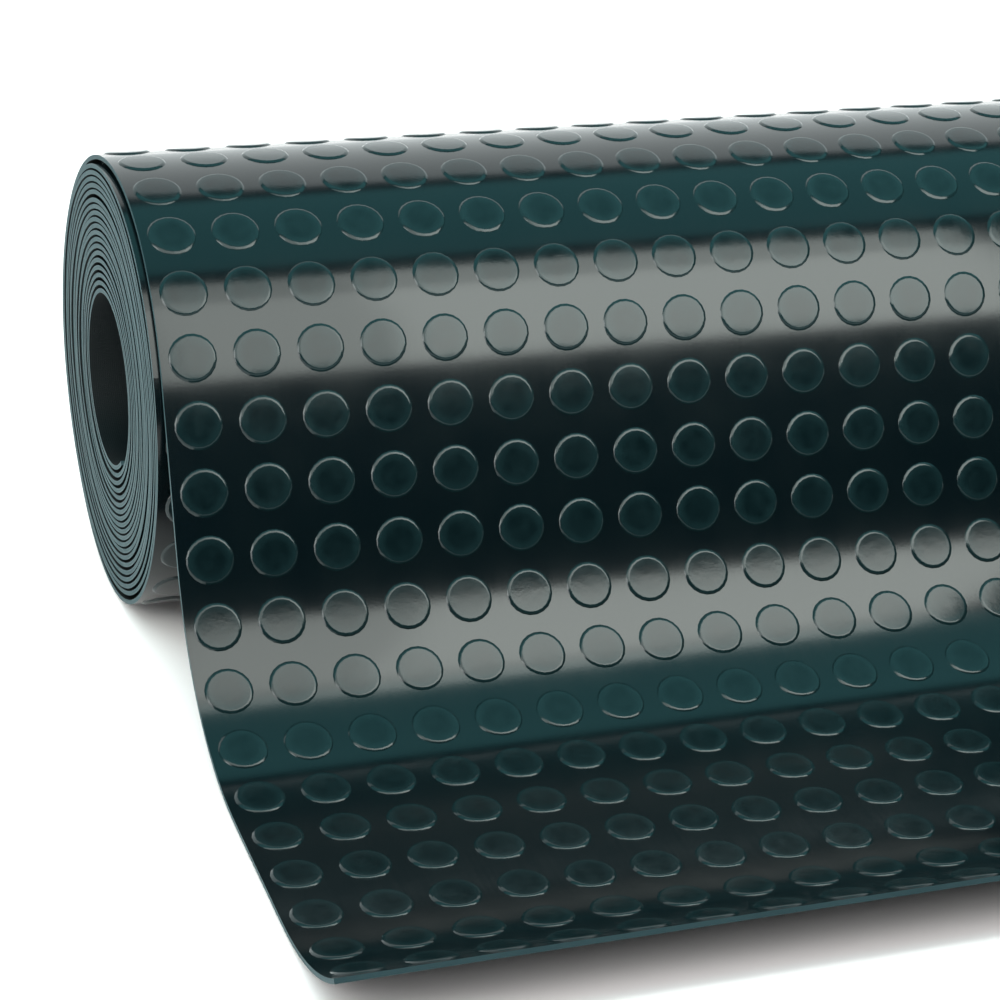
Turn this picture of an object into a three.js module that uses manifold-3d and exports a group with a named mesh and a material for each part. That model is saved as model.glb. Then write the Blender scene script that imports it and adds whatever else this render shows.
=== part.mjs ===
// Round-coin rubber matting, a ten-metre roll lying on the floor with its loose end laid out in front.
// Millimetres, +Z up. The roll's axis runs along X and the loose end reaches towards -Y.
// The origin is the middle of the part's footprint, on the floor.
import * as THREE from "three";
import { mergeVertices } from "three/addons/utils/BufferGeometryUtils.js";
import Module from "manifold-3d";

// The sheet: a flat web with round coins moulded on its upper side.
const MAT_WIDTH = 1200;
const WEB_THICKNESS = 2.2;
const COIN_HEIGHT = 0.8;

// The roll: turns wound on air, held apart by their coins and a little slack.
const BORE_RADIUS = 42.4;
const TURNS = 20;
const TURN_SLACK = 0.42;
const GROOVE_DEPTH = 4;
const ROLL_FACETS = 40;

// The loose end: it leaves the front of the roll, sweeps down to the floor, lies flat and curls up again.
const LEAVE_ANGLE = 22.5;
const SWEEP_RADIUS = 112;
const FLAT_RUN = 83;
const CURL_RADIUS = 130;
const CURL_ANGLE = 34;
const ARC_STEPS = 7;

const RUBBER_COLOUR = 0x14262a;
const RUBBER_ROUGHNESS = 0.4;

// The web and its coins make the sheet's full thickness, and each turn takes that and the slack.
const SHEET_THICKNESS = WEB_THICKNESS + COIN_HEIGHT;
const TURN_PITCH = SHEET_THICKNESS + TURN_SLACK;
const ROLL_RADIUS = BORE_RADIUS + (TURNS - 1) * TURN_PITCH + SHEET_THICKNESS;

const leave = THREE.MathUtils.degToRad(LEAVE_ANGLE);
const curl = THREE.MathUtils.degToRad(CURL_ANGLE);

const wasm = await Module();
wasm.setup();

// A ring with flat facets reaches this far at its corners when its facets lie at the radius.
function cornerRadius(radius) {
  return radius / Math.cos(Math.PI / ROLL_FACETS);
}

function ringPoint(radius, along) {
  return new THREE.Vector2(cornerRadius(radius), along);
}

// One end of the roll from the bore outwards: each turn shows its web, then the gap its coins hold open.
function endProfile(face, inwards) {
  const points = [];
  for (let turn = 0; turn < TURNS - 1; turn += 1) {
    const inner = BORE_RADIUS + turn * TURN_PITCH;
    const webEdge = inner + WEB_THICKNESS;
    const gapMiddle = (webEdge + inner + TURN_PITCH) / 2;
    points.push(ringPoint(inner, face));
    points.push(ringPoint(webEdge, face));
    points.push(ringPoint(gapMiddle, face + inwards * GROOVE_DEPTH));
  }
  points.push(ringPoint(ROLL_RADIUS - SHEET_THICKNESS, face));
  points.push(ringPoint(ROLL_RADIUS, face));
  return points;
}

// The wound roll is turned round its axis, with one facet flat on the floor.
function rollGeometry() {
  const left = endProfile(0, 1);
  const right = endProfile(MAT_WIDTH, -1).reverse();
  const profile = [...left, ...right, left[0].clone()];
  const roll = new THREE.LatheGeometry(profile, ROLL_FACETS, Math.PI / ROLL_FACETS);
  roll.rotateZ(-Math.PI / 2);
  roll.translate(0, 0, ROLL_RADIUS);
  return roll;
}

// The loose end's section, with its coin side first from the roll to the free edge, then its underside.
// In this section x is the part's Y and y is its Z, and the roll's axis stands at x = 0.
function looseEndSection() {
  const corner = cornerRadius(ROLL_RADIUS);
  const start = new THREE.Vector2(-corner * Math.cos(leave), ROLL_RADIUS + corner * Math.sin(leave));
  const slope = Math.PI / 2 - leave;
  const sweepTop = SHEET_THICKNESS + SWEEP_RADIUS * (1 - Math.cos(slope));
  const straight = (start.y - sweepTop) / Math.sin(slope);
  const sweepX = start.x - straight * Math.cos(slope) - SWEEP_RADIUS * Math.sin(slope);
  const sweepY = SHEET_THICKNESS + SWEEP_RADIUS;
  const curlX = sweepX - FLAT_RUN;
  const curlY = SHEET_THICKNESS + CURL_RADIUS;
  const down = -Math.PI / 2;
  const inside = new THREE.Vector2(Math.cos(leave), -Math.sin(leave)).multiplyScalar(SHEET_THICKNESS);

  const section = new THREE.Shape();
  section.moveTo(start.x, start.y);
  section.absarc(sweepX, sweepY, SWEEP_RADIUS, down + slope, down, true);
  section.absarc(curlX, curlY, CURL_RADIUS, down, down - curl, true);
  section.absarc(curlX, curlY, curlY, down - curl, down, false);
  section.absarc(sweepX, sweepY, sweepY, down, down + slope, false);
  section.lineTo(start.x + inside.x, start.y + inside.y);
  section.closePath();
  return section;
}

function looseEndGeometry() {
  const sheet = new THREE.ExtrudeGeometry(looseEndSection(), {
    depth: MAT_WIDTH,
    bevelEnabled: false,
    curveSegments: ARC_STEPS,
  });
  const towardsY = new THREE.Vector3(0, 1, 0);
  const towardsZ = new THREE.Vector3(0, 0, 1);
  const towardsX = new THREE.Vector3(1, 0, 0);
  sheet.applyMatrix4(new THREE.Matrix4().makeBasis(towardsY, towardsZ, towardsX));
  return sheet;
}

function toSolid(geometry) {
  const bare = geometry.clone();
  bare.deleteAttribute("normal");
  bare.deleteAttribute("uv");
  const merged = mergeVertices(bare, 1e-4);
  return new wasm.Manifold(
    new wasm.Mesh({
      numProp: 3,
      vertProperties: merged.getAttribute("position").array,
      triVerts: new Uint32Array(merged.index.array),
    }),
  );
}

function toGeometry(solid) {
  const mesh = solid.getMesh();
  const geometry = new THREE.BufferGeometry();
  geometry.setAttribute("position", new THREE.BufferAttribute(mesh.vertProperties, 3));
  geometry.setIndex(new THREE.BufferAttribute(mesh.triVerts, 1));
  geometry.computeVertexNormals();
  return geometry;
}

// The roll and its loose end are one moulded sheet, so they are joined into one solid.
function coinMat() {
  const whole = toSolid(rollGeometry()).add(toSolid(looseEndGeometry()));
  const rubber = new THREE.MeshStandardMaterial({
    color: RUBBER_COLOUR,
    roughness: RUBBER_ROUGHNESS,
    metalness: 0,
    flatShading: true,
  });
  const mat = new THREE.Mesh(toGeometry(whole), rubber);
  mat.name = "coin_mat";
  mat.geometry.computeBoundingBox();
  const middle = mat.geometry.boundingBox.getCenter(new THREE.Vector3());
  mat.position.set(-middle.x, -middle.y, 0);
  return mat;
}

const roll = new THREE.Group();
roll.add(coinMat());

export default roll;
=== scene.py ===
# %% [markdown]
# Coin rubber matting: a roll with its loose end laid out in front.
# Real coin matting is one long sheet of black rubber, moulded with round raised coins on its face
# and wound up with the coins outside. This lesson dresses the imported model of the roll: it bends
# a flat sheet of the real thickness along the path that the roll and its loose end take, and lays
# the coins on the same path, so sheet and coins bend together as the rubber does.
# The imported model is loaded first, because every size below comes from it or from the real stock.

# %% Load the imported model
import math

import bpy
import numpy as np
from mathutils import Matrix, Vector


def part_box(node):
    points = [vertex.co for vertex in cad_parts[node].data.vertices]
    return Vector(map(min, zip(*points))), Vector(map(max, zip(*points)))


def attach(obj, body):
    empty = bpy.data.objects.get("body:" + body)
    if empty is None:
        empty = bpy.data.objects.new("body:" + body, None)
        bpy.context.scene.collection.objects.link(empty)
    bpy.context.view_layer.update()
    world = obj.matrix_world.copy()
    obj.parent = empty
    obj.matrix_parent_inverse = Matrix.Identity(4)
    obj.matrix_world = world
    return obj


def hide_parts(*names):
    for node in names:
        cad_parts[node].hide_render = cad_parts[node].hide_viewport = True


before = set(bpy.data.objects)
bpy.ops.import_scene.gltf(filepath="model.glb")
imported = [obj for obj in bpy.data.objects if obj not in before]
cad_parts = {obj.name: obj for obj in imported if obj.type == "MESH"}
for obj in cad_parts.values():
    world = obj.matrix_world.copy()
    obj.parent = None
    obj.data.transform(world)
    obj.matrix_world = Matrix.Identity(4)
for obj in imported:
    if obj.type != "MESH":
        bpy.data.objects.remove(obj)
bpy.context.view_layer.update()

low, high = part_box("coin_mat")
print("packed roll, lowest and highest corner:", tuple(low), tuple(high))

# %% [markdown]
# The sizes of the stock. The sheet is 3 mm thick over its coins, and 2.2 mm between them. The
# roll's outer radius is half its height, because it stands on the floor, and its back touches the
# model's rearmost plane. Everything is in metres, so one small function turns millimetres over.

# %% Sizes of the sheet and the roll
def mm(value):
    return value / 1000


WEB_THICKNESS = mm(2.2)
COIN_HEIGHT = mm(0.8)
SHEET_THICKNESS = WEB_THICKNESS + COIN_HEIGHT
MAT_WIDTH = high.x - low.x
ROLL_RADIUS = high.z / 2
ROLL_MIDDLE_Y = high.y - ROLL_RADIUS
WEB_RADIUS = ROLL_RADIUS - COIN_HEIGHT
TURNS = 20
print("mat width", round(MAT_WIDTH, 4), "roll radius", round(ROLL_RADIUS, 5))

# %% [markdown]
# The loose end, from the roll to its free edge. It leaves the front of the roll at 22.5 degrees
# above the middle, runs down straight, sweeps onto the floor, lies flat for 83 mm and then curls
# up a little, because the sheet keeps some of the bend it was wound with. Rubber can't change its
# bend at once, so the bends are blended over about a centimetre: the curve is made from its
# bending, point by point, and not from arcs put end to end.

# %% The bends of the loose end
STEP = mm(1)
LEAVE_ANGLE = math.radians(22.5)
SWEEP_RADIUS = mm(112.8)
FLAT_RUN = mm(83)
CURL_RADIUS = mm(130.8)
CURL_ANGLE = math.radians(34)
BLEND_LENGTH = mm(8)


def loose_end_bending(straight_run):
    slope = math.pi / 2 - LEAVE_ANGLE
    stretches = [
        (WEB_RADIUS * slope, 1 / WEB_RADIUS),
        (straight_run, 0),
        (SWEEP_RADIUS * slope, -1 / SWEEP_RADIUS),
        (FLAT_RUN, 0),
        (CURL_RADIUS * CURL_ANGLE, -1 / CURL_RADIUS),
    ]
    ends = np.cumsum([length for length, bend in stretches])
    places = np.arange(0, ends[-1], STEP)
    which = np.searchsorted(ends, places, side="right")
    bends = np.array([bend for length, bend in stretches])[np.minimum(which, len(stretches) - 1)]
    reach = int(3 * BLEND_LENGTH / STEP)
    weights = np.exp(-0.5 * (np.arange(-reach, reach + 1) * STEP / BLEND_LENGTH) ** 2)
    padded = np.pad(bends, reach, mode="edge")
    return np.convolve(padded, weights / weights.sum(), mode="valid")


# %% The loose end from the top of the roll to the free edge
def loose_end_points(straight_run):
    heading = np.cumsum(loose_end_bending(straight_run)) * STEP
    y = ROLL_MIDDLE_Y - np.cumsum(np.cos(heading)) * STEP
    z = ROLL_RADIUS + WEB_RADIUS - np.cumsum(np.sin(heading)) * STEP
    return y, z


straight_run = mm(87)
SOLVING_ROUNDS = 6
for attempt in range(SOLVING_ROUNDS):
    tail_y, tail_z = loose_end_points(straight_run)
    straight_run += (tail_z.min() - WEB_THICKNESS) / math.cos(LEAVE_ANGLE)
print("straight run", round(straight_run, 5), "free edge at y", round(tail_y[-1], 4))

# %% [markdown]
# The wound part. A turn keeps its radius over the top, down the back and round to the floor, and
# then steps inward by one sheet thickness and a little air, where the next turn's end goes under
# the loose one. Deeper in, that step spreads over the whole turn, as in any spiral. A roll is
# never wound evenly: the outermost turn sits loose, a few gaps are wide and others nearly shut,
# and the innermost turns have sprung open. That is what its end shows. The last value in the list
# below is the air that the innermost turn winds inward by on its own way round.

# %% Air between the turns, from the outermost gap inward
TURN_AIR = [1.15, 0.12, 0.1, 0.12, 0.1, 0.9, 0.12, 0.1, 0.12, 0.1]
TURN_AIR += [0.12, 0.1, 0.15, 0.15, 0.3, 0.55, 0.6, 0.75, 0.75, 0.8]
turn_step = np.array([SHEET_THICKNESS + mm(air) for air in TURN_AIR])
first_radius = WEB_RADIUS - np.concatenate([[0], np.cumsum(turn_step)[:-1]])
print(len(turn_step), "turns, innermost at", round(first_radius[-1] * 1000, 2), "mm")

# %% The wound path, from the top of the roll inward
INNER_END_ANGLE = math.radians(290)
ANGLE_STEP = math.radians(0.9)
FIRST_STEP_START = 0.69
STEP_SPREAD = 0.045
FIRST_EASE = 0.3
EASE_TURNS = 10


def wound_radius(angle):
    turn_number = np.minimum((angle - LEAVE_ANGLE) // (2 * math.pi), TURNS - 1).astype(int)
    part = (angle - LEAVE_ANGLE) / (2 * math.pi) - turn_number
    step_start = np.maximum(FIRST_STEP_START - STEP_SPREAD * turn_number, 0)
    step_part = np.clip((part - step_start) / (1 - step_start), 0, 1)
    ease = np.minimum(1, FIRST_EASE + turn_number / EASE_TURNS)
    smooth_part = step_part * step_part * (3 - 2 * step_part)
    step_part = smooth_part + (step_part - smooth_part) * (ease - FIRST_EASE)
    return first_radius[turn_number] - turn_step[turn_number] * step_part


last_angle = LEAVE_ANGLE + (TURNS - 1) * 2 * math.pi + INNER_END_ANGLE
angles = np.arange(math.pi / 2, last_angle, ANGLE_STEP)
radii = wound_radius(angles)
wound_y = ROLL_MIDDLE_Y - radii * np.cos(angles)
wound_z = ROLL_RADIUS + radii * np.sin(angles)
path_y = np.concatenate([tail_y[::-1], wound_y])
path_z = np.concatenate([tail_z[::-1], wound_z])

# %% [markdown]
# The turns don't lie flush at the ends of a roll. As the loose end is pulled out, the roll slips
# a few millimetres along its axis, so its turns stand proud of the loose end's left edge, and
# each turn wanders by a fraction of a millimetre more as it is wound. That drift rides on the
# path too, as its place along the roll's axis. The loose end itself lies true to the model.

# %% Sideways drift of the turns
SLIP = mm(4)
BACK_SLIP = mm(1)
SLIP_START = 0.42
SLIP_RUN = 0.3
WANDER = mm(0.3)
WANDER_LENGTH = 0.11
WANDER_SEED = 7
travelled = np.concatenate([[0], np.cumsum(np.hypot(np.diff(path_y), np.diff(path_z)))])
SHEET_LENGTH = travelled[-1]
wander = np.random.default_rng(WANDER_SEED)
knots = np.arange(0, SHEET_LENGTH + 2 * WANDER_LENGTH, WANDER_LENGTH)
drift = np.interp(travelled, knots, wander.normal(0, WANDER, len(knots)))
lean = (path_y - ROLL_MIDDLE_Y) / ROLL_RADIUS
slipped = np.clip((travelled - SLIP_START) / SLIP_RUN, 0, 1)
slipped = slipped * slipped * (3 - 2 * slipped)
drift = (drift - SLIP - BACK_SLIP * lean) * slipped
path_points = np.column_stack([drift, path_y, path_z])
print("sheet length", round(SHEET_LENGTH, 3), "m on", len(path_points), "points")

# %% The path as a curve for the nodes to read
path_curve = bpy.data.curves.new("sheet_path", "CURVE")
path_curve.dimensions = "3D"
path_spline = path_curve.splines.new("POLY")
path_spline.points.add(len(path_points) - 1)
path_corners = np.column_stack([path_points, np.ones(len(path_points))])
path_spline.points.foreach_set("co", path_corners.ravel())
path_object = bpy.data.objects.new("sheet_path", path_curve)
bpy.context.scene.collection.objects.link(path_object)
print("curve", path_object.name, "with", len(path_spline.points), "points")

# %% [markdown]
# One small function adds a node with its settings and links. An input takes a plain value, or the
# output of an earlier node, and it is named by its label or, where labels repeat, by its number.

# %% Adding a node
def add(tree, kind, inputs=None, **settings):
    node = tree.nodes.new(kind)
    for name, value in settings.items():
        setattr(node, name, value)
    for key, value in (inputs or {}).items():
        if isinstance(value, bpy.types.NodeSocket):
            tree.links.new(value, node.inputs[key])
        else:
            node.inputs[key].default_value = value
    return node


def linear(hex_colour):
    channels = [int(hex_colour[i:i + 2], 16) / 255 for i in (1, 3, 5)]
    straight = [c / 12.92 if c <= 0.04045 else ((c + 0.055) / 1.055) ** 2.4 for c in channels]
    return (*straight, 1)


# %% [markdown]
# Moulded rubber face. The rubber is a natural and styrene butadiene blend filled with carbon
# black, pressed between steel plates, so it is nearly black with a cool cast and takes the
# plate's satin finish: its gloss shows the lamps as soft bands. Rolling marks run along the
# sheet as faint streaks about 1.5 mm wide, the shine varies in patches of a few centimetres, and
# a fine pebble breaks up the highlights. The real grain is about 0.1 mm, too fine to show here,
# so it is drawn ten times coarser. The patterns read the flat sheet's own measure, so they run
# round the roll as they do on the real one.

# %% Satin moulded rubber, for the face between the coins
RUBBER_IOR = 1.52
STREAK_WIDTH = mm(1.5)
STREAK_LENGTH = mm(120)
PATCH_SIZE = mm(25)
GRAINS_PER_METRE = 900
GRAIN_DEPTH = mm(0.04)
STREAK_DEPTH = mm(0.02)
FACE_ROUGHNESS = 0.09
STREAK_DULLING = 0.05
PATCH_DULLING = 0.07


def face_material():
    material = bpy.data.materials.new("satin_moulded_rubber")
    material.use_nodes = True
    tree = material.node_tree
    shader = tree.nodes["Principled BSDF"]
    flat = add(tree, "ShaderNodeAttribute", attribute_name="sheet_flat").outputs["Vector"]
    along = add(tree, "ShaderNodeVectorMath", {0: flat, 1: (1 / STREAK_WIDTH, 1 / STREAK_LENGTH, 1)},
                operation="MULTIPLY").outputs["Vector"]
    streak = add(tree, "ShaderNodeTexNoise", {"Vector": along, "Scale": 1, "Detail": 3}).outputs["Fac"]
    patch = add(tree, "ShaderNodeTexNoise",
                {"Vector": flat, "Scale": 1 / PATCH_SIZE, "Detail": 3}).outputs["Fac"]
    grain = add(tree, "ShaderNodeTexNoise",
                {"Vector": flat, "Scale": GRAINS_PER_METRE, "Detail": 2}).outputs["Fac"]
    shine = add(tree, "ShaderNodeMath", {0: streak, 1: STREAK_DULLING, 2: FACE_ROUGHNESS},
                operation="MULTIPLY_ADD")
    shine = add(tree, "ShaderNodeMath", {0: patch, 1: PATCH_DULLING, 2: shine.outputs[0]},
                operation="MULTIPLY_ADD")
    tree.links.new(shine.outputs[0], shader.inputs["Roughness"])
    colour = add(tree, "ShaderNodeMix", {0: patch, 6: linear("#02070a"), 7: linear("#040b0d")},
                 data_type="RGBA")
    tree.links.new(colour.outputs[2], shader.inputs["Base Color"])
    relief = add(tree, "ShaderNodeBump", {"Height": grain, "Strength": 0.25, "Distance": GRAIN_DEPTH})
    marks = add(tree, "ShaderNodeBump", {"Height": streak, "Normal": relief.outputs[0],
                                         "Strength": 0.1, "Distance": STREAK_DEPTH})
    tree.links.new(marks.outputs[0], shader.inputs["Normal"])
    shader.inputs["IOR"].default_value = RUBBER_IOR
    shader.inputs["Specular IOR Level"].default_value = 0.4
    return material


rubber_face = face_material()
print("material", rubber_face.name)

# %% [markdown]
# Coin tops. The same rubber, but the mould's coin pockets are turned and duller, and the tops
# carry the wear of winding and handling: they are a little greyer, blotched, and rougher than
# the face. Their colour is also painted paler towards the rim all round. This is a painted rim
# highlight, for the light the shoulders catch. Each coin has its own number, which moves the
# blotches, so no two look alike.

# %% Handled coin tops, with a painted rim highlight
BLOTCHES_PER_METRE = 140
COIN_GRAINS_PER_METRE = 1100
NUMBER_SHIFT = (3.7, 9.1, 5.3)
DENT_DEPTH = mm(0.14)
COIN_ROUGHNESS = 0.09
BLOTCH_DULLING = 0.08
NUMBER_DULLING = 0.04
# Painted rim highlight: where the coin tops start and stop turning paler towards the rim, and by how
# much.
RIM_HIGHLIGHT_START = mm(6)
RIM_HIGHLIGHT_END = mm(10)
PAINTED_HIGHLIGHT_AT_MIDDLE = -0.05
PAINTED_HIGHLIGHT_AT_RIM = 0.35
BLOTCH_WEAR = 0.6


def coin_material():
    material = bpy.data.materials.new("handled_rubber_coin_painted_rim")
    material.use_nodes = True
    tree = material.node_tree
    shader = tree.nodes["Principled BSDF"]
    place = add(tree, "ShaderNodeAttribute", attribute_name="coin_place").outputs["Vector"]
    number = add(tree, "ShaderNodeAttribute", attribute_name="coin_number").outputs["Fac"]
    apart = add(tree, "ShaderNodeCombineXYZ", {"X": number, "Y": number, "Z": number}).outputs[0]
    spread = add(tree, "ShaderNodeVectorMath", {0: apart, 1: NUMBER_SHIFT, 2: place},
                 operation="MULTIPLY_ADD").outputs["Vector"]
    blotch = add(tree, "ShaderNodeTexNoise",
                 {"Vector": spread, "Scale": BLOTCHES_PER_METRE, "Detail": 4}).outputs["Fac"]
    grain = add(tree, "ShaderNodeTexNoise",
                {"Vector": spread, "Scale": COIN_GRAINS_PER_METRE, "Detail": 2}).outputs["Fac"]
    dull = add(tree, "ShaderNodeMath", {0: blotch, 1: BLOTCH_DULLING, 2: COIN_ROUGHNESS},
               operation="MULTIPLY_ADD")
    dull = add(tree, "ShaderNodeMath", {0: number, 1: NUMBER_DULLING, 2: dull.outputs[0]},
               operation="MULTIPLY_ADD")
    tree.links.new(dull.outputs[0], shader.inputs["Roughness"])
    # Painted rim highlight: the colour turns paler towards each coin's rim, on top of the blotches.
    out = add(tree, "ShaderNodeVectorMath", {0: place}, operation="LENGTH").outputs["Value"]
    blotch_and_rim_highlight = add(tree, "ShaderNodeMapRange",
               {"Value": out, 1: RIM_HIGHLIGHT_START, 2: RIM_HIGHLIGHT_END, 3: PAINTED_HIGHLIGHT_AT_MIDDLE, 4: PAINTED_HIGHLIGHT_AT_RIM})
    blotch_and_rim_highlight = add(tree, "ShaderNodeMath", {0: blotch, 1: BLOTCH_WEAR, 2: blotch_and_rim_highlight.outputs[0]},
               operation="MULTIPLY_ADD")
    colour = add(tree, "ShaderNodeMix", {0: blotch_and_rim_highlight.outputs[0], 6: linear("#02080a"), 7: linear("#0f2022")},
                 data_type="RGBA")
    tree.links.new(colour.outputs[2], shader.inputs["Base Color"])
    relief = add(tree, "ShaderNodeBump", {"Height": grain, "Strength": 0.3, "Distance": GRAIN_DEPTH})
    dents = add(tree, "ShaderNodeBump", {"Height": blotch, "Normal": relief.outputs[0],
                                         "Strength": 0.4, "Distance": DENT_DEPTH})
    tree.links.new(dents.outputs[0], shader.inputs["Normal"])
    shader.inputs["IOR"].default_value = RUBBER_IOR
    shader.inputs["Specular IOR Level"].default_value = 0.31
    return material


rubber_coin = coin_material()
print("material", rubber_coin.name)

# %% [markdown]
# Cut edge. The long edges of the sheet are slit with a round knife, which leaves a matte, paler
# surface with fine lines along the cut. It has no moulded skin, so it doesn't shine.

# %% Slit rubber edge
KNIFE_LINE_WIDTH = mm(0.5)
KNIFE_LINE_LENGTH = mm(50)
EDGE_PATCHES_PER_METRE = 30
KNIFE_DEPTH = mm(0.1)
EDGE_ROUGHNESS = 0.5
KNIFE_DULLING = 0.25


def edge_material():
    material = bpy.data.materials.new("slit_rubber_edge")
    material.use_nodes = True
    tree = material.node_tree
    shader = tree.nodes["Principled BSDF"]
    flat = add(tree, "ShaderNodeAttribute", attribute_name="sheet_flat").outputs["Vector"]
    lines = add(tree, "ShaderNodeVectorMath",
                {0: flat, 1: (1, 1 / KNIFE_LINE_LENGTH, 1 / KNIFE_LINE_WIDTH)},
                operation="MULTIPLY").outputs["Vector"]
    knife = add(tree, "ShaderNodeTexNoise", {"Vector": lines, "Scale": 1, "Detail": 3}).outputs["Fac"]
    patch = add(tree, "ShaderNodeTexNoise",
                {"Vector": flat, "Scale": EDGE_PATCHES_PER_METRE, "Detail": 3}).outputs["Fac"]
    colour = add(tree, "ShaderNodeMix", {0: patch, 6: linear("#24393d"), 7: linear("#32494d")},
                 data_type="RGBA")
    tree.links.new(colour.outputs[2], shader.inputs["Base Color"])
    dull = add(tree, "ShaderNodeMath", {0: knife, 1: KNIFE_DULLING, 2: EDGE_ROUGHNESS},
               operation="MULTIPLY_ADD")
    tree.links.new(dull.outputs[0], shader.inputs["Roughness"])
    relief = add(tree, "ShaderNodeBump", {"Height": knife, "Strength": 0.3, "Distance": KNIFE_DEPTH})
    tree.links.new(relief.outputs[0], shader.inputs["Normal"])
    shader.inputs["IOR"].default_value = RUBBER_IOR
    shader.inputs["Specular IOR Level"].default_value = 0.2
    return material


rubber_edge = edge_material()
print("material", rubber_edge.name)

# %% [markdown]
# Back of the sheet. The underside is pressed against a cloth as it cures, so that it grips its
# glue: it is matte, dark and carries a fine weave. Real threads are about 0.5 mm apart, and the
# pattern is drawn at 1 mm so that it shows in a close view. Blender's Wave Texture repeats every
# 0.314 m at a scale of 1, so a scale of 314 puts the threads 1 mm apart.

# %% Cloth marked rubber back
THREAD_SCALE = 314
WEAVE_DEPTH = mm(0.1)
BACK_ROUGHNESS = 0.6


def back_material():
    material = bpy.data.materials.new("cloth_marked_rubber")
    material.use_nodes = True
    tree = material.node_tree
    shader = tree.nodes["Principled BSDF"]
    flat = add(tree, "ShaderNodeAttribute", attribute_name="sheet_flat").outputs["Vector"]
    warp = add(tree, "ShaderNodeTexWave", {"Vector": flat, "Scale": THREAD_SCALE, "Distortion": 1},
               bands_direction="X").outputs["Fac"]
    weft = add(tree, "ShaderNodeTexWave", {"Vector": flat, "Scale": THREAD_SCALE, "Distortion": 1},
               bands_direction="Y").outputs["Fac"]
    weave = add(tree, "ShaderNodeMath", {0: warp, 1: weft}, operation="MULTIPLY").outputs[0]
    colour = add(tree, "ShaderNodeMix", {0: weave, 6: linear("#03090b"), 7: linear("#071214")},
                 data_type="RGBA")
    tree.links.new(colour.outputs[2], shader.inputs["Base Color"])
    relief = add(tree, "ShaderNodeBump", {"Height": weave, "Strength": 0.5, "Distance": WEAVE_DEPTH})
    tree.links.new(relief.outputs[0], shader.inputs["Normal"])
    shader.inputs["Roughness"].default_value = BACK_ROUGHNESS
    shader.inputs["IOR"].default_value = RUBBER_IOR
    shader.inputs["Specular IOR Level"].default_value = 0.25
    return material


rubber_back = back_material()
print("material", rubber_back.name)

# %% [markdown]
# Bending things along the path. Sheet and coins are both made flat first, with x across the
# sheet, y along it from the free edge and z out of its face. This group then carries each point
# to the place on the path that is as far along as its y, and lifts it off along the face's
# normal by its z. It also adds the slight waves that a heavy, soft sheet has: they rise from the
# floor on the loose end, sink into the roll on its outer turn, and fade out below that.

# %% Group: bend along the path
WAVES_PER_METRE = 9
ON_FLOOR = 0.2
ON_ROLL = 0.42
FADE_START = 0.8
FADE_END = 1.0


def bending_group():
    tree = bpy.data.node_groups.new("bend_along_path", "GeometryNodeTree")
    tree.interface.new_socket("Flat", in_out="INPUT", socket_type="NodeSocketGeometry")
    tree.interface.new_socket("Path", in_out="INPUT", socket_type="NodeSocketObject")
    tree.interface.new_socket("Wave Height", in_out="INPUT", socket_type="NodeSocketFloat")
    tree.interface.new_socket("Bent", in_out="OUTPUT", socket_type="NodeSocketGeometry")
    given = tree.nodes.new("NodeGroupInput").outputs
    place = add(tree, "GeometryNodeInputPosition").outputs[0]
    stored = add(tree, "GeometryNodeStoreNamedAttribute",
                 {"Geometry": given["Flat"], "Name": "sheet_flat", "Value": place},
                 data_type="FLOAT_VECTOR")
    parts = add(tree, "ShaderNodeSeparateXYZ", {0: place}).outputs
    path = add(tree, "GeometryNodeObjectInfo", {"Object": given["Path"]}).outputs["Geometry"]
    spot = add(tree, "GeometryNodeSampleCurve", {"Curves": path, "Length": parts["Y"]},
               mode="LENGTH", use_all_curves=True).outputs
    heading = add(tree, "ShaderNodeVectorMath", {0: spot["Tangent"], 1: (0, 1, 1)}, operation="MULTIPLY")
    outward = add(tree, "ShaderNodeVectorMath", {0: (1, 0, 0), 1: heading.outputs[0]},
                  operation="CROSS_PRODUCT")
    outward = add(tree, "ShaderNodeVectorMath", {0: outward.outputs[0]}, operation="NORMALIZE").outputs[0]
    on_sheet = add(tree, "ShaderNodeCombineXYZ", {"X": parts["X"], "Y": parts["Y"]}).outputs[0]
    wave = add(tree, "ShaderNodeTexNoise",
               {"Vector": on_sheet, "Scale": WAVES_PER_METRE, "Detail": 1}).outputs["Fac"]
    sign = add(tree, "ShaderNodeMapRange",
               {"Value": parts["Y"], 1: ON_FLOOR, 2: ON_ROLL, 3: 1.0, 4: -1.0})
    fade = add(tree, "ShaderNodeMapRange",
               {"Value": parts["Y"], 1: FADE_START, 2: FADE_END, 3: 1.0, 4: 0.0})
    height = add(tree, "ShaderNodeMath", {0: wave, 1: sign.outputs[0]}, operation="MULTIPLY").outputs[0]
    height = add(tree, "ShaderNodeMath", {0: height, 1: fade.outputs[0]}, operation="MULTIPLY").outputs[0]
    height = add(tree, "ShaderNodeMath", {0: height, 1: given["Wave Height"], 2: parts["Z"]},
                 operation="MULTIPLY_ADD").outputs[0]
    lift = add(tree, "ShaderNodeVectorMath", {0: outward, "Scale": height}, operation="SCALE").outputs[0]
    across = add(tree, "ShaderNodeCombineXYZ", {"X": parts["X"]}).outputs[0]
    target = add(tree, "ShaderNodeVectorMath", {0: spot["Position"], 1: across}, operation="ADD")
    target = add(tree, "ShaderNodeVectorMath", {0: target.outputs[0], 1: lift}, operation="ADD")
    moved = add(tree, "GeometryNodeSetPosition", {"Geometry": stored.outputs[0],
                                                  "Position": target.outputs[0]})
    add(tree, "NodeGroupOutput", {"Bent": moved.outputs[0]})
    return tree


bend_along_path = bending_group()
print("group", bend_along_path.name, "has", len(bend_along_path.nodes), "nodes")

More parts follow.
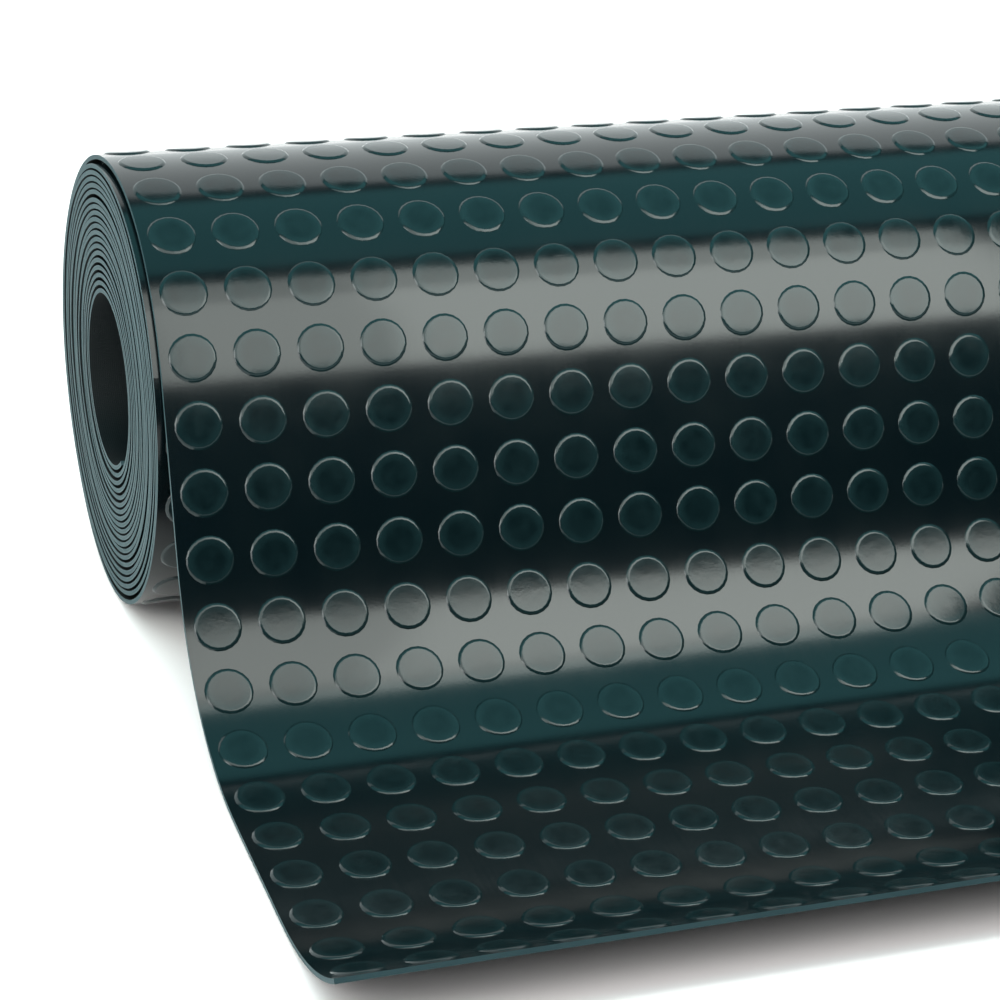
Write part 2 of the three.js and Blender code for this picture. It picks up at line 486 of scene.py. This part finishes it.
# %% [markdown]
# The sheet. It could be a curve with a thin rectangle as its bevel, but then its faces would twist
# with the curve and its two sides couldn't have materials of their own. So it is a flat slab cut
# into a grid, which the group bends. Which side a face is on is noted while the slab is still
# flat: face up, back down, and cut edges round the rim.

# %% Nodes for a length of sheet
def sheet_tree():
    tree = bpy.data.node_groups.new("length_of_sheet", "GeometryNodeTree")
    for name, kind in [("Path", "Object"), ("Start", "Float"), ("End", "Float"), ("Width", "Float"),
                       ("Thickness", "Float"), ("Wave Height", "Float"), ("Columns", "Int"),
                       ("Rows", "Int"), ("Face", "Material"), ("Back", "Material"), ("Edge", "Material")]:
        tree.interface.new_socket(name, in_out="INPUT", socket_type="NodeSocket" + kind)
    tree.interface.new_socket("Sheet", in_out="OUTPUT", socket_type="NodeSocketGeometry")
    given = tree.nodes.new("NodeGroupInput").outputs
    length = add(tree, "ShaderNodeMath", {0: given["End"], 1: given["Start"]},
                 operation="SUBTRACT").outputs[0]
    size = add(tree, "ShaderNodeCombineXYZ", {"X": given["Width"], "Y": length, "Z": given["Thickness"]})
    slab = add(tree, "GeometryNodeMeshCube", {"Size": size.outputs[0], "Vertices X": given["Columns"],
                                              "Vertices Y": given["Rows"], "Vertices Z": 2})
    middle = add(tree, "ShaderNodeMath", {0: length, 1: 0.5, 2: given["Start"]}, operation="MULTIPLY_ADD")
    sunk = add(tree, "ShaderNodeMath", {0: given["Thickness"], 1: -0.5}, operation="MULTIPLY")
    shift = add(tree, "ShaderNodeCombineXYZ", {"Y": middle.outputs[0], "Z": sunk.outputs[0]}).outputs[0]
    laid = add(tree, "GeometryNodeTransform", {"Geometry": slab.outputs["Mesh"], "Translation": shift})
    facing = add(tree, "GeometryNodeInputNormal").outputs[0]
    facing = add(tree, "ShaderNodeSeparateXYZ", {0: facing}).outputs["Z"]
    noted = add(tree, "GeometryNodeStoreNamedAttribute",
                {"Geometry": laid.outputs[0], "Name": "faces_up", "Value": facing},
                data_type="FLOAT", domain="FACE")
    bent = add(tree, "GeometryNodeGroup", node_tree=bend_along_path)
    tree.links.new(noted.outputs[0], bent.inputs["Flat"])
    tree.links.new(given["Path"], bent.inputs["Path"])
    tree.links.new(given["Wave Height"], bent.inputs["Wave Height"])
    side = add(tree, "GeometryNodeInputNamedAttribute", {"Name": "faces_up"},
               data_type="FLOAT").outputs[0]
    is_face = add(tree, "ShaderNodeMath", {0: side, 1: 0.5}, operation="GREATER_THAN").outputs[0]
    is_back = add(tree, "ShaderNodeMath", {0: side, 1: -0.5}, operation="LESS_THAN").outputs[0]
    smooth = add(tree, "GeometryNodeSetShadeSmooth", {"Geometry": bent.outputs[0]})
    real = add(tree, "GeometryNodeRealizeInstances", {"Geometry": smooth.outputs[0]})
    edged = add(tree, "GeometryNodeSetMaterial", {"Geometry": real.outputs[0], "Material": given["Edge"]})
    faced = add(tree, "GeometryNodeSetMaterial", {"Geometry": edged.outputs[0], "Selection": is_face,
                                                  "Material": given["Face"]})
    backed = add(tree, "GeometryNodeSetMaterial", {"Geometry": faced.outputs[0], "Selection": is_back,
                                                   "Material": given["Back"]})
    add(tree, "NodeGroupOutput", {"Sheet": backed.outputs[0]})
    return tree


length_of_sheet = sheet_tree()
print("tree", length_of_sheet.name, "has", len(length_of_sheet.nodes), "nodes")

# %% [markdown]
# Running a tree. A carrier object gets the tree as a modifier, its inputs are set by each
# socket's identifier, and the evaluated result becomes a plain mesh. The modifier is then
# removed, because the finished piece must not change any more.

# %% From a tree to a plain piece
SHARP_ANGLE = math.radians(50)


def make_piece(name, tree, settings):
    piece = bpy.data.objects.new(name, bpy.data.meshes.new(name))
    bpy.context.scene.collection.objects.link(piece)
    modifier = piece.modifiers.new("maker", "NODES")
    modifier.node_group = tree
    for item in tree.interface.items_tree:
        if item.in_out == "INPUT" and item.name in settings:
            modifier[item.identifier] = settings[item.name]
    graph = bpy.context.evaluated_depsgraph_get()
    made = bpy.data.meshes.new_from_object(piece.evaluated_get(graph), preserve_all_data_layers=True,
                                           depsgraph=graph)
    piece.modifiers.clear()
    piece.data = made
    made.name = name
    made.set_sharp_from_angle(angle=SHARP_ANGLE)
    triangles = sum(len(face.vertices) - 2 for face in made.polygons)
    print(name, triangles, "triangles")
    return piece


# %% [markdown]
# Two lengths of sheet. The loose end and the outermost turn are seen from near, so they are cut
# finely. The other turns only show their edges at the two ends, so they have few columns. The
# two meet in the narrow space under the loose end, where no joint can be seen.

# %% The loose end and the outermost turn, and the turns inside
nip = int(np.searchsorted(angles, LEAVE_ANGLE + 2 * math.pi))
NIP_LENGTH = float(travelled[len(tail_y) + nip])
WAVE_HEIGHT = mm(0.35)
ROW_LENGTH = mm(4)
FINE_COLUMNS = 61
PLAIN_COLUMNS = 7
sheet_settings = {"Path": path_object, "Width": MAT_WIDTH, "Thickness": WEB_THICKNESS,
                  "Wave Height": WAVE_HEIGHT, "Face": rubber_face, "Back": rubber_back,
                  "Edge": rubber_edge}
loose_sheet = make_piece("loose_end_sheet", length_of_sheet, sheet_settings | {
    "Start": 0.0, "End": NIP_LENGTH, "Columns": FINE_COLUMNS, "Rows": round(NIP_LENGTH / ROW_LENGTH)})
wound_sheet = make_piece("wound_turns", length_of_sheet, sheet_settings | {
    "Start": NIP_LENGTH, "End": float(SHEET_LENGTH), "Columns": PLAIN_COLUMNS,
    "Rows": round((SHEET_LENGTH - NIP_LENGTH) / ROW_LENGTH)})

# %% [markdown]
# One coin. Each is 22.5 mm across at its foot and 0.8 mm high, with a flat top and a shoulder
# that the mould has rounded. It is made from rings of points, once, and its foot is sunk a
# little in the sheet so that no gap can open when it bends. The top is cut into strips across
# the sheet, because that is the direction in which it bends.

# %% The coin's shape
COIN_SIDES = 20
COIN_PROFILE = [(11.35, -0.1), (10.95, 0.3), (10.1, 0.78), (9.5, 0.8)]
PLAIN_SIDES = 12
PLAIN_PROFILE = [(11.3, -0.1), (10.6, 0.75)]


def coin_shape(name, sides, profile):
    turns = [2 * math.pi * (i + 0.5) / sides for i in range(sides)]
    points = [(mm(r) * math.cos(t), mm(r) * math.sin(t), mm(h)) for r, h in profile for t in turns]
    faces = []
    for ring in range(len(profile) - 1):
        for i in range(sides):
            j = (i + 1) % sides
            lower = ring * sides
            upper = lower + sides
            faces.append((lower + i, lower + j, upper + j, upper + i))
    top = (len(profile) - 1) * sides
    quarter = sides // 4
    left = [top + (quarter + i) % sides for i in range(sides // 2)]
    right = [top + (quarter - 1 - i) % sides for i in range(sides // 2)]
    for i in range(sides // 2 - 1):
        faces.append((left[i], left[i + 1], right[i + 1], right[i]))
    faces.append(tuple(range(sides - 1, -1, -1)))
    mesh = bpy.data.meshes.new(name)
    mesh.from_pydata(points, [], faces)
    shape = bpy.data.objects.new(name, mesh)
    bpy.context.scene.collection.objects.link(shape)
    print(name, len(faces), "faces")
    return shape


fine_coin = coin_shape("coin_shape", COIN_SIDES, COIN_PROFILE)
plain_coin = coin_shape("plain_coin_shape", PLAIN_SIDES, PLAIN_PROFILE)

# %% [markdown]
# Laying the coins. They stand in straight rows, 30 mm apart across the sheet and 30.68 mm along
# it, 40 in a row. A grid of points carries one coin each, every coin gets a random number for
# its material, and the same group that bent the sheet bends them.

# %% Nodes for rows of coins
def coin_tree():
    tree = bpy.data.node_groups.new("rows_of_coins", "GeometryNodeTree")
    for name, kind in [("Path", "Object"), ("Coin", "Object"), ("First Row", "Float"),
                       ("Row Pitch", "Float"), ("Rows", "Int"), ("Column Pitch", "Float"),
                       ("Columns", "Int"), ("Wave Height", "Float"), ("Seed", "Int"),
                       ("Material", "Material")]:
        tree.interface.new_socket(name, in_out="INPUT", socket_type="NodeSocket" + kind)
    tree.interface.new_socket("Coins", in_out="OUTPUT", socket_type="NodeSocketGeometry")
    given = tree.nodes.new("NodeGroupInput").outputs
    wide = add(tree, "ShaderNodeMath", {0: given["Columns"], 1: 1}, operation="SUBTRACT").outputs[0]
    wide = add(tree, "ShaderNodeMath", {0: wide, 1: given["Column Pitch"]},
               operation="MULTIPLY").outputs[0]
    long = add(tree, "ShaderNodeMath", {0: given["Rows"], 1: 1}, operation="SUBTRACT").outputs[0]
    long = add(tree, "ShaderNodeMath", {0: long, 1: given["Row Pitch"]}, operation="MULTIPLY").outputs[0]
    grid = add(tree, "GeometryNodeMeshGrid",
               {"Size X": wide, "Size Y": long, "Vertices X": given["Columns"],
                "Vertices Y": given["Rows"]}).outputs["Mesh"]
    middle = add(tree, "ShaderNodeMath", {0: long, 1: 0.5, 2: given["First Row"]},
                 operation="MULTIPLY_ADD")
    shift = add(tree, "ShaderNodeCombineXYZ", {"Y": middle.outputs[0]}).outputs[0]
    spots = add(tree, "GeometryNodeTransform", {"Geometry": grid, "Translation": shift}).outputs[0]
    coin = add(tree, "GeometryNodeObjectInfo", {"Object": given["Coin"]}).outputs["Geometry"]
    place = add(tree, "GeometryNodeInputPosition").outputs[0]
    coin = add(tree, "GeometryNodeStoreNamedAttribute",
               {"Geometry": coin, "Name": "coin_place", "Value": place},
               data_type="FLOAT_VECTOR").outputs[0]
    coins = add(tree, "GeometryNodeInstanceOnPoints", {"Points": spots, "Instance": coin}).outputs[0]
    number = add(tree, "FunctionNodeRandomValue", {"Seed": given["Seed"]}, data_type="FLOAT").outputs[1]
    coins = add(tree, "GeometryNodeStoreNamedAttribute", {"Geometry": coins, "Name": "coin_number",
                                                          "Value": number},
                data_type="FLOAT", domain="INSTANCE").outputs[0]
    real = add(tree, "GeometryNodeRealizeInstances", {"Geometry": coins}).outputs[0]
    bent = add(tree, "GeometryNodeGroup", node_tree=bend_along_path)
    tree.links.new(real, bent.inputs["Flat"])
    tree.links.new(given["Path"], bent.inputs["Path"])
    tree.links.new(given["Wave Height"], bent.inputs["Wave Height"])
    smooth = add(tree, "GeometryNodeSetShadeSmooth", {"Geometry": bent.outputs[0]}).outputs[0]
    real = add(tree, "GeometryNodeRealizeInstances", {"Geometry": smooth}).outputs[0]
    done = add(tree, "GeometryNodeSetMaterial", {"Geometry": real, "Material": given["Material"]})
    add(tree, "NodeGroupOutput", {"Coins": done.outputs[0]})
    return tree


rows_of_coins = coin_tree()
print("tree", rows_of_coins.name, "has", len(rows_of_coins.nodes), "nodes")

# %% [markdown]
# Three sets of coins: on the loose end, on the outermost turn, and in the gaps between the other
# turns, where only the first and last coin of each row can be seen from the roll's ends.

# %% The coins
FIRST_ROW = mm(19.3)
ROW_PITCH = mm(30.68)
COLUMN_PITCH = mm(30)
COLUMNS = round(MAT_WIDTH / COLUMN_PITCH)
LOOSE_ROWS = 13
LAST_MARGIN = mm(12)
outer_rows = int((NIP_LENGTH - FIRST_ROW) / ROW_PITCH) + 1
all_rows = int((SHEET_LENGTH - FIRST_ROW - LAST_MARGIN) / ROW_PITCH) + 1
coin_settings = {"Path": path_object, "Row Pitch": ROW_PITCH, "Wave Height": WAVE_HEIGHT,
                 "Material": rubber_coin}
loose_coins = make_piece("loose_end_coins", rows_of_coins, coin_settings | {
    "Coin": fine_coin, "First Row": FIRST_ROW, "Rows": LOOSE_ROWS, "Column Pitch": COLUMN_PITCH,
    "Columns": COLUMNS, "Seed": 3})
roll_coins = make_piece("outer_turn_coins", rows_of_coins, coin_settings | {
    "Coin": fine_coin, "First Row": FIRST_ROW + LOOSE_ROWS * ROW_PITCH, "Rows": outer_rows - LOOSE_ROWS,
    "Column Pitch": COLUMN_PITCH, "Columns": COLUMNS, "Seed": 5})
gap_coins = make_piece("inner_turn_coins", rows_of_coins, coin_settings | {
    "Coin": plain_coin, "First Row": FIRST_ROW + outer_rows * ROW_PITCH, "Rows": all_rows - outer_rows,
    "Column Pitch": COLUMN_PITCH * (COLUMNS - 1), "Columns": 2, "Seed": 8})
for helper in (path_object, fine_coin, plain_coin):
    bpy.data.objects.remove(helper)
print("coin rows:", LOOSE_ROWS, "loose,", outer_rows - LOOSE_ROWS, "outermost,",
      all_rows - outer_rows, "in the gaps")

# %% [markdown]
# Every piece moves with the roll's one body and stands for its node, which is hidden.

# %% Tie the pieces to the model
for piece in (loose_sheet, wound_sheet, loose_coins, roll_coins, gap_coins):
    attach(piece, "root")
    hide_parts("coin_mat")
    print(piece.name, "rides on root")

# %% [markdown]
# The floor is plain and pale, and wide enough to fill the picture behind the roll.

# %% Floor
FLOOR_HALF = 20
FLOOR_Z = mm(-0.2)
floor_mesh = bpy.data.meshes.new("floor")
corners = [(FLOOR_HALF * x, FLOOR_HALF * y, FLOOR_Z) for x, y in ((-1, -1), (1, -1), (1, 1), (-1, 1))]
floor_mesh.from_pydata(corners, [], [(0, 1, 2, 3)])
floor = bpy.data.objects.new("floor", floor_mesh)
bpy.context.scene.collection.objects.link(floor)
floor_paint = bpy.data.materials.new("matt_white_paper")
floor_paint.use_nodes = True
floor_shader = floor_paint.node_tree.nodes["Principled BSDF"]
floor_shader.inputs["Base Color"].default_value = linear("#faf6f5")
floor_shader.inputs["Roughness"].default_value = 0.9
floor_mesh.materials.append(floor_paint)
print("floor", 2 * FLOOR_HALF, "m wide")

# %% [markdown]
# Light. Satin black rubber shows the lamps more than its own colour, so the picture is made by
# where they stand. A long softbox in front and above gives the two bright bands, one on the roll
# and one on the sweep of the loose end. Its lower edge lies just above what the straight run
# mirrors, which is why that run is black. It is built from panels side by side, brighter towards
# the middle and dimmer along the top, because two lamps laid over each other don't add up. A dim
# cool sky hangs overhead, a bright wall behind lights the top of the roll, and a narrow softbox
# at the left lights the roll's end and puts the glints on the left sides of the coins. A soft
# sun lights the floor evenly, and is kept out of the rubber's reflections.

# %% Softboxes
def softbox(name, middle, facing, width, height, brightness, colour=(1, 1, 1)):
    lamp = bpy.data.lights.new(name, "AREA")
    lamp.shape = "RECTANGLE"
    lamp.size = width
    lamp.size_y = height
    lamp.energy = brightness * width * height * math.pi
    lamp.color = colour
    box = bpy.data.objects.new(name, lamp)
    back = -Vector(facing).normalized()
    side = Vector((0, 0, 1)).cross(back)
    side = side.normalized() if side.length > 0.01 else Vector((1, 0, 0))
    up = back.cross(side)
    box.matrix_world = Matrix.Translation(middle) @ Matrix((side, up, back)).transposed().to_4x4()
    box.visible_camera = False
    bpy.context.scene.collection.objects.link(box)
    return box


LOWER_EDGE = Vector((0, -0.359 + ROLL_MIDDLE_Y, 0.261))
UPPER_EDGE = Vector((0, -0.230 + ROLL_MIDDLE_Y, 0.573))
rise = UPPER_EDGE - LOWER_EDGE
front_facing = (0, rise.z, -rise.y)
FRONT_COLUMNS = [(-1.6, -0.54, 3.7), (-0.54, -0.40, 5.6), (-0.40, 0.02, 7.6)]
FRONT_ROWS = [(0, 0.7, 1.0), (0.7, 1.0, 0.66)]
FRONT_TINT = (0.93, 1.0, 0.95)
SKY_TINT = (0.3, 0.95, 1.0)
WALL_TINT = (0.93, 1.0, 1.0)
for left, right, brightness in FRONT_COLUMNS:
    for bottom, top, share in FRONT_ROWS:
        middle = LOWER_EDGE + rise * (bottom + top) / 2 + Vector(((left + right) / 2, 0, 0))
        softbox("front_softbox", middle, front_facing, right - left, rise.length * (top - bottom),
                brightness * share, FRONT_TINT)
softbox("overhead_sky", (0, 0.3, 1.6), (0, 0, -1), 5.0, 1.2, 0.9, SKY_TINT)
softbox("wall_behind", (0, 3.0, 2.1), (0, -1, 0), 10.0, 4.2, 1.6, WALL_TINT)
softbox("left_softbox", (-1.5, -0.5, 0.45), (1, 0.25, -0.15), 0.45, 0.8, 5.5)
print(len(bpy.data.lights), "lamps, the front one in", len(FRONT_COLUMNS) * len(FRONT_ROWS), "panels")

# %% Daylight for the floor
daylight = bpy.data.lights.new("daylight", "SUN")
daylight.energy = 3.0
daylight.angle = math.radians(120)
daylight.color = (1.0, 0.98, 0.97)
daylight_object = bpy.data.objects.new("daylight", daylight)
daylight_object.visible_glossy = False
bpy.context.scene.collection.objects.link(daylight_object)
print("daylight", round(daylight.energy, 2), "watts per square metre")

# %% Room
world = bpy.data.worlds.new("studio")
bpy.context.scene.world = world
world.use_nodes = True
room = world.node_tree
sight = add(room, "ShaderNodeLightPath").outputs["Is Camera Ray"]
DIM_ROOM = (0.012, 0.03, 0.033, 1)
PALE_BACKDROP = (0.9, 0.92, 0.92, 1)
shade = add(room, "ShaderNodeMix", {0: sight, 6: DIM_ROOM, 7: PALE_BACKDROP}, data_type="RGBA")
room.links.new(shade.outputs[2], room.nodes["Background"].inputs["Color"])

# %% [markdown]
# The camera stands where the photograph was taken from: in front of the roll, to its left and
# above it, with a long lens, and tilted a little to its side.

# %% Camera
CAMERA_PLACE = Vector((-0.8651, -1.1251, 0.6635))
CAMERA_TURN = math.radians(20.226)
CAMERA_DIP = math.radians(25.308)
CAMERA_TILT = math.radians(3.095)
FILM_WIDTH_MM = 36
LENS_MM = 103.29
ahead = Vector((math.sin(CAMERA_TURN) * math.cos(CAMERA_DIP),
                math.cos(CAMERA_TURN) * math.cos(CAMERA_DIP),
                -math.sin(CAMERA_DIP)))
right = Vector((math.cos(CAMERA_TURN), -math.sin(CAMERA_TURN), 0))
upward = right.cross(ahead)
right_tilted = math.cos(CAMERA_TILT) * right + math.sin(CAMERA_TILT) * upward
up_tilted = -math.sin(CAMERA_TILT) * right + math.cos(CAMERA_TILT) * upward
camera_data = bpy.data.cameras.new("camera")
camera_data.sensor_width = FILM_WIDTH_MM
camera_data.lens = LENS_MM
camera = bpy.data.objects.new("camera", camera_data)
camera.matrix_world = (Matrix.Translation(CAMERA_PLACE)
                       @ Matrix((right_tilted, up_tilted, -ahead)).transposed().to_4x4())
bpy.context.scene.collection.objects.link(camera)
bpy.context.scene.camera = camera
bpy.context.scene.view_settings.view_transform = "Standard"
print("camera at", [round(value, 3) for value in camera.matrix_world.translation])
